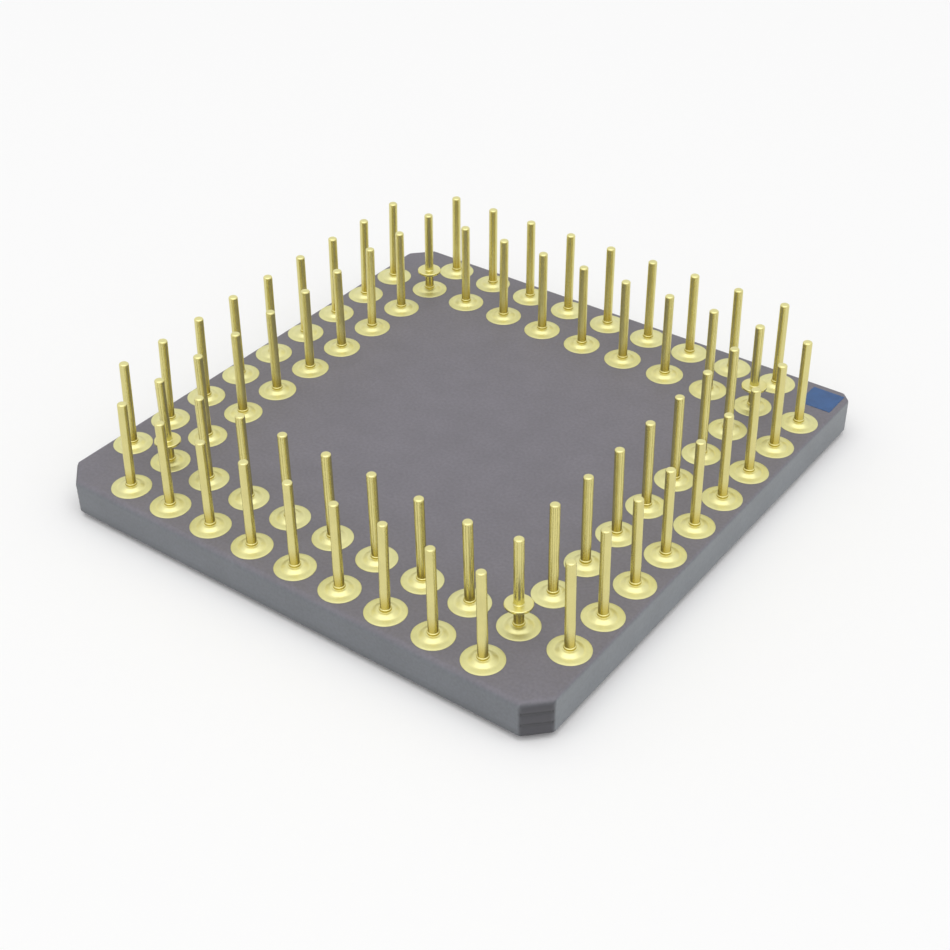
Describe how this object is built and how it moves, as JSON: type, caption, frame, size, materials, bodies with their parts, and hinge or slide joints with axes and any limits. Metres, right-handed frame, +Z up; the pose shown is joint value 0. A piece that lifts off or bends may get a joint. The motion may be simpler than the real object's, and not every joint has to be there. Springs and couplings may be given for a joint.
{
  "type": "pin grid array chip",
  "caption": "Square ceramic pin grid array chip with gold plated nail-head pins in two outer rings, standoff pins at the inner corners and a brazed lid over a hidden die.",
  "frame": {"origin": "middle of the lid's outer face, which the part lies on", "axes": "+Z up through the pins, X and Y along the edges, the marked corner at +X +Y. Rows are lettered a to l without i from the marked corner towards -Y, columns count from it towards -X"},
  "size_m": [0.0278, 0.028, 0.0067],
  "materials": {
    "alumina": "matte",
    "pin_gold": "satin",
    "braze_gold": "satin",
    "lid_gold": "satin",
    "gold_tin_solder": "satin",
    "ring_gold": "matte",
    "index_ink": "matte",
    "silicon": "polished",
    "silver_glass": "matte",
    "bond_aluminium": "satin"
  },
  "bodies": {
    "root": {"bond_wires": "bond_aluminium", "braze_row_a": "braze_gold", "braze_row_b": "braze_gold", "braze_row_c": "braze_gold", "braze_row_d": "braze_gold", "braze_row_e": "braze_gold", "braze_row_f": "braze_gold", "braze_row_g": "braze_gold", "braze_row_h": "braze_gold", "braze_row_j": "braze_gold", "braze_row_k": "braze_gold", "braze_row_l": "braze_gold", "ceramic_body": "alumina", "die": "silicon", "die_attach": "silver_glass", "index_mark": "index_ink", "lid": "lid_gold", "lid_seal": "gold_tin_solder", "pins_row_a": "pin_gold", "pins_row_b": "pin_gold", "pins_row_c": "pin_gold", "pins_row_d": "pin_gold", "pins_row_e": "pin_gold", "pins_row_f": "pin_gold", "pins_row_g": "pin_gold", "pins_row_h": "pin_gold", "pins_row_j": "pin_gold", "pins_row_k": "pin_gold", "pins_row_l": "pin_gold", "seal_ring": "ring_gold", "standoff_pin_b10": "pin_gold", "standoff_pin_b2": "pin_gold", "standoff_pin_k10": "pin_gold", "standoff_pin_k2": "pin_gold"}
  },
  "joints": []
}
